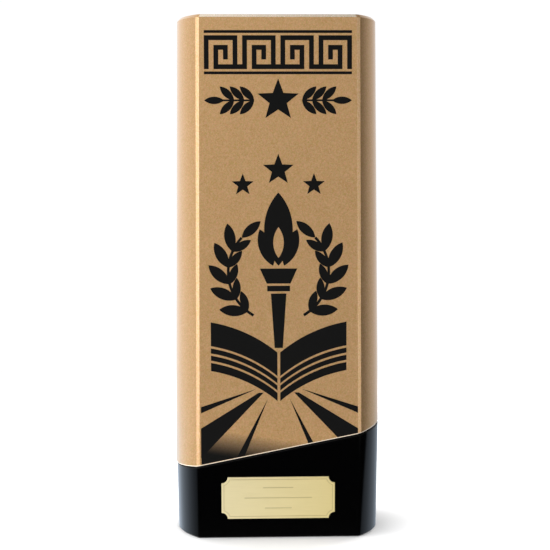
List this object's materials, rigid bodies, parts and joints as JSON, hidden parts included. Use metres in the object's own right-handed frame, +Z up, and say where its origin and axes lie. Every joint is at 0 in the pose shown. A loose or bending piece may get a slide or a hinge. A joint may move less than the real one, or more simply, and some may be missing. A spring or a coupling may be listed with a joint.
{
  "type": "column trophy",
  "caption": "Tall metallic column with curved sides on a gloss black weighted base, joined on a slant, with a printed front and a small engraving plate.",
  "frame": {"origin": "middle of the footprint, on the surface that the trophy stands on", "axes": "+Z up along the column, +X to the right seen from the printed front, -Y out of the printed front"},
  "size_m": [0.0926, 0.0497, 0.23],
  "materials": {
    "column_paint": "moulded ABS under satin metallic bronze-gold paint with a fine flake",
    "sole_plastic": "plain moulded ABS",
    "insert_brass": "knurled brass",
    "ink": "satin black printed ink",
    "base_gloss": "polished black ABS",
    "screw_steel": "zinc plated",
    "ballast_iron": "rough casting",
    "foam": "EVA foam",
    "cover_plastic": "lightly textured ABS",
    "pad_foam": "black EVA foam",
    "adhesive": "double-sided film",
    "plate_gold": "satin gold anodised, engraved border"
  },
  "bodies": {
    "root": {"column_shell": "column_paint", "column_sole": "sole_plastic", "threaded_inserts": "insert_brass", "frieze_print": "ink", "emblem_print": "ink", "rays_print": "ink", "base_shell": "base_gloss", "column_screws": "screw_steel", "screw_washers": "screw_steel", "ballast_block": "ballast_iron", "ballast_foam": "foam", "base_cover": "cover_plastic", "cover_screws": "screw_steel", "foot_pad": "pad_foam", "plate_adhesive": "adhesive", "engraving_plate": "plate_gold"}
  },
  "joints": []
}
